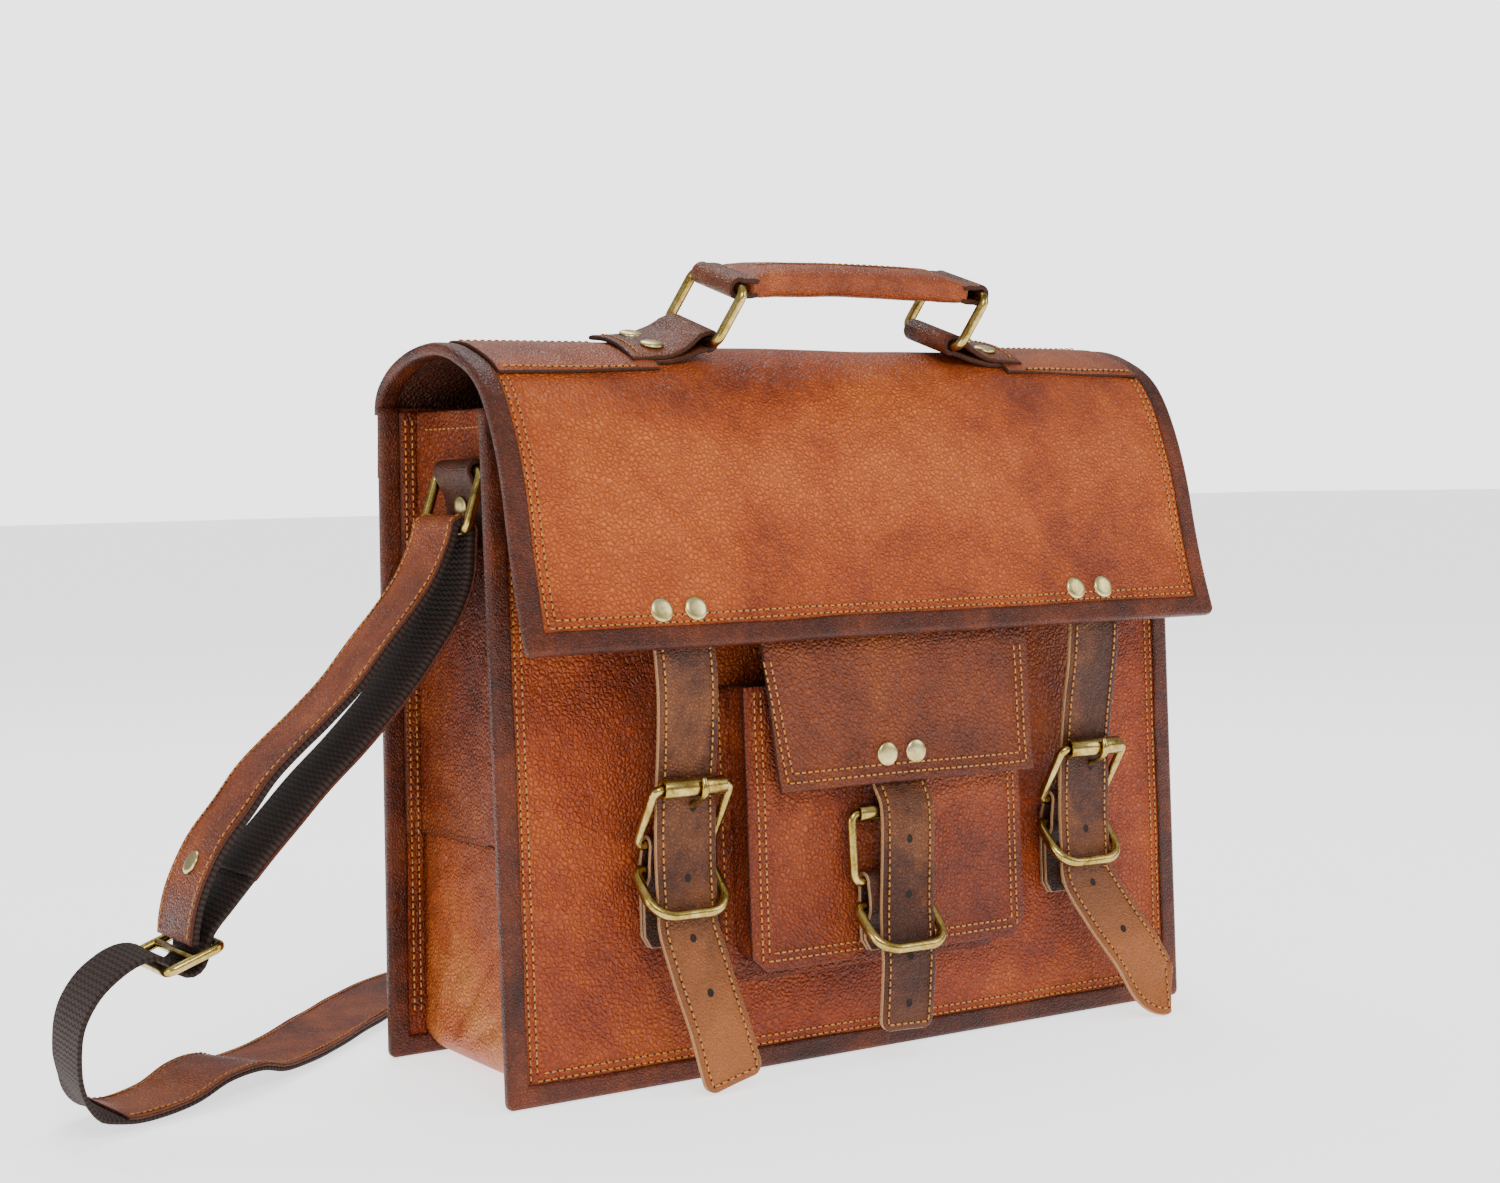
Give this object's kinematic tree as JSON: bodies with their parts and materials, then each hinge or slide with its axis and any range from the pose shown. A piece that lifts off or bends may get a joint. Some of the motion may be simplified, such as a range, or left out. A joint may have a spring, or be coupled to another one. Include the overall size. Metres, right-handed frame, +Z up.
{
  "type": "leather satchel bag",
  "caption": "Leather satchel with a wrap-over flap, carrying handle on rings, roller-buckle straps with keeper rings, front pocket and shoulder strap.",
  "frame": {"origin": "centre of the bag's base on the surface it stands on", "axes": "+Z up, -Y the front with flap and buckles, +X to the right seen from the front"},
  "size_m": [0.5576, 0.3234, 0.3437],
  "materials": {
    "panel_leather": "satin",
    "gusset_leather": "satin",
    "binding_leather": "satin",
    "strap_leather": "satin",
    "webbing": "matte",
    "lining": "matte",
    "antique_brass": "satin",
    "rivet_brass": "satin"
  },
  "bodies": {
    "body": {"front_panel": "panel_leather", "back_panel": "panel_leather", "front_binding": "binding_leather", "back_binding": "binding_leather", "gusset_lower": "gusset_leather", "gusset_upper_left": "gusset_leather", "gusset_upper_right": "gusset_leather", "lining": "lining", "flap_seat": "binding_leather", "side_loop_left": "strap_leather", "side_loop_right": "strap_leather", "chape_left": "strap_leather", "chape_right": "strap_leather", "pocket_front": "panel_leather", "pocket_gusset": "gusset_leather", "pocket_flap_top": "panel_leather", "pocket_chape": "strap_leather", "body_rivets": "rivet_brass", "shoulder_strap_run": "webbing", "shoulder_strap_tail": "webbing", "shoulder_strap_end": "strap_leather", "shoulder_strap_rivets": "rivet_brass"},
    "flap": {"flap_panel": "panel_leather", "flap_binding": "binding_leather", "handle_anchor_left": "strap_leather", "handle_anchor_right": "strap_leather", "flap_rivets": "rivet_brass", "strap_left": "strap_leather", "strap_right": "strap_leather"},
    "handle_ring_left": {"handle_ring_left": "antique_brass"},
    "handle_ring_right": {"handle_ring_right": "antique_brass"},
    "handle": {"handle": "strap_leather"},
    "side_ring_left": {"side_ring_left": "antique_brass"},
    "side_ring_right": {"side_ring_right": "antique_brass"},
    "buckle_left": {"buckle_left": "antique_brass"},
    "buckle_right": {"buckle_right": "antique_brass"},
    "buckle_pocket": {"buckle_pocket": "antique_brass"},
    "tongue_left": {"tongue_left": "antique_brass"},
    "tongue_right": {"tongue_right": "antique_brass"},
    "tongue_pocket": {"tongue_pocket": "antique_brass"},
    "roller_left": {"roller_left": "antique_brass"},
    "roller_right": {"roller_right": "antique_brass"},
    "roller_pocket": {"roller_pocket": "antique_brass"},
    "keeper_left": {"keeper_left": "antique_brass"},
    "keeper_right": {"keeper_right": "antique_brass"},
    "keeper_pocket": {"keeper_pocket": "antique_brass"},
    "pocket_flap": {"pocket_flap": "panel_leather", "pocket_flap_rivets": "rivet_brass", "pocket_strap": "strap_leather"},
    "slider": {"slider": "antique_brass"}
  },
  "joints": [
    {"name": "flap_hinge", "type": "hinge", "parent": "body", "child": "flap", "pos_m": [0, 0.0515, 0.2855], "axis": [-1, 0, 0], "range_deg": [0, 150], "deforming": ["strap_left", "strap_right"]},
    {"name": "handle_ring_left_hinge", "type": "hinge", "parent": "flap", "child": "handle_ring_left", "pos_m": [-0.0643, -0.0242, 0.3122], "axis": [0, 0.9563, 0.2924], "range_deg": [-82, 32]},
    {"name": "handle_ring_right_hinge", "type": "hinge", "parent": "flap", "child": "handle_ring_right", "pos_m": [0.0643, -0.0242, 0.3122], "axis": [0, 0.9563, 0.2924], "range_deg": [-82, 32]},
    {"name": "handle_hinge", "type": "hinge", "parent": "handle_ring_left", "child": "handle", "pos_m": [-0.05352, -0.03096, 0.3343], "axis": [0, 0.9563, 0.2924], "range_deg": [-32, 82]},
    {"name": "side_ring_left_hinge", "type": "hinge", "parent": "body", "child": "side_ring_left", "pos_m": [-0.1632, 0, 0.255], "axis": [0, 1, 0], "range_deg": [-11, 30], "deforming": ["shoulder_strap_run", "shoulder_strap_tail"]},
    {"name": "side_ring_right_hinge", "type": "hinge", "parent": "body", "child": "side_ring_right", "pos_m": [0.1632, 0, 0.255], "axis": [0, 1, 0], "range_deg": [-30, 11], "deforming": ["shoulder_strap_end"]},
    {"name": "buckle_left_hinge", "type": "hinge", "parent": "body", "child": "buckle_left", "pos_m": [-0.1015, -0.06314, 0.10119], "axis": [1, 0, 0], "range_deg": [0, 25]},
    {"name": "tongue_left_hinge", "type": "hinge", "parent": "buckle_left", "child": "tongue_left", "pos_m": [-0.1015, -0.06314, 0.10119], "axis": [1, 0, 0], "range_deg": [0, 50]},
    {"name": "roller_left_spin", "type": "hinge", "parent": "buckle_left", "child": "roller_left", "pos_m": [-0.1015, -0.0791, 0.1254], "axis": [1, 0, 0], "continuous": true},
    {"name": "keeper_left_hinge", "type": "hinge", "parent": "body", "child": "keeper_left", "pos_m": [-0.1015, -0.06142, 0.09113], "axis": [-1, 0, 0], "range_deg": [0, 55]},
    {"name": "buckle_right_hinge", "type": "hinge", "parent": "body", "child": "buckle_right", "pos_m": [0.1095, -0.06314, 0.10119], "axis": [1, 0, 0], "range_deg": [0, 25]},
    {"name": "tongue_right_hinge", "type": "hinge", "parent": "buckle_right", "child": "tongue_right", "pos_m": [0.1095, -0.06314, 0.10119], "axis": [1, 0, 0], "range_deg": [0, 50]},
    {"name": "roller_right_spin", "type": "hinge", "parent": "buckle_right", "child": "roller_right", "pos_m": [0.1095, -0.0791, 0.1254], "axis": [1, 0, 0], "continuous": true},
    {"name": "keeper_right_hinge", "type": "hinge", "parent": "body", "child": "keeper_right", "pos_m": [0.1095, -0.06142, 0.09113], "axis": [-1, 0, 0], "range_deg": [0, 55]},
    {"name": "buckle_pocket_hinge", "type": "hinge", "parent": "body", "child": "buckle_pocket", "pos_m": [-0.006, -0.0808, 0.07818], "axis": [1, 0, 0], "range_deg": [0, 3]},
    {"name": "tongue_pocket_hinge", "type": "hinge", "parent": "buckle_pocket", "child": "tongue_pocket", "pos_m": [-0.006, -0.0808, 0.07818], "axis": [1, 0, 0], "range_deg": [0, 8]},
    {"name": "roller_pocket_spin", "type": "hinge", "parent": "buckle_pocket", "child": "roller_pocket", "pos_m": [-0.006, -0.07897, 0.10712], "axis": [1, 0, 0], "continuous": true},
    {"name": "keeper_pocket_hinge", "type": "hinge", "parent": "body", "child": "keeper_pocket", "pos_m": [-0.006, -0.08128, 0.06819], "axis": [-1, 0, 0], "range_deg": [0, 50]},
    {"name": "pocket_flap_hinge", "type": "hinge", "parent": "body", "child": "pocket_flap", "pos_m": [0, -0.07538, 0.18477], "axis": [-1, 0, 0], "range_deg": [0, 30], "deforming": ["pocket_strap"]},
    {"name": "slider_rock", "type": "hinge", "parent": "body", "child": "slider", "pos_m": [-0.291, 0, 0.07], "axis": [0, 1, 0], "range_deg": [-8, 8]}
  ],
  "couplings": [
    {"joint": "handle_hinge", "follows": "handle_ring_left_hinge", "ratio": -1},
    {"joint": "handle_ring_right_hinge", "follows": "handle_ring_left_hinge", "ratio": 1}
  ]
}
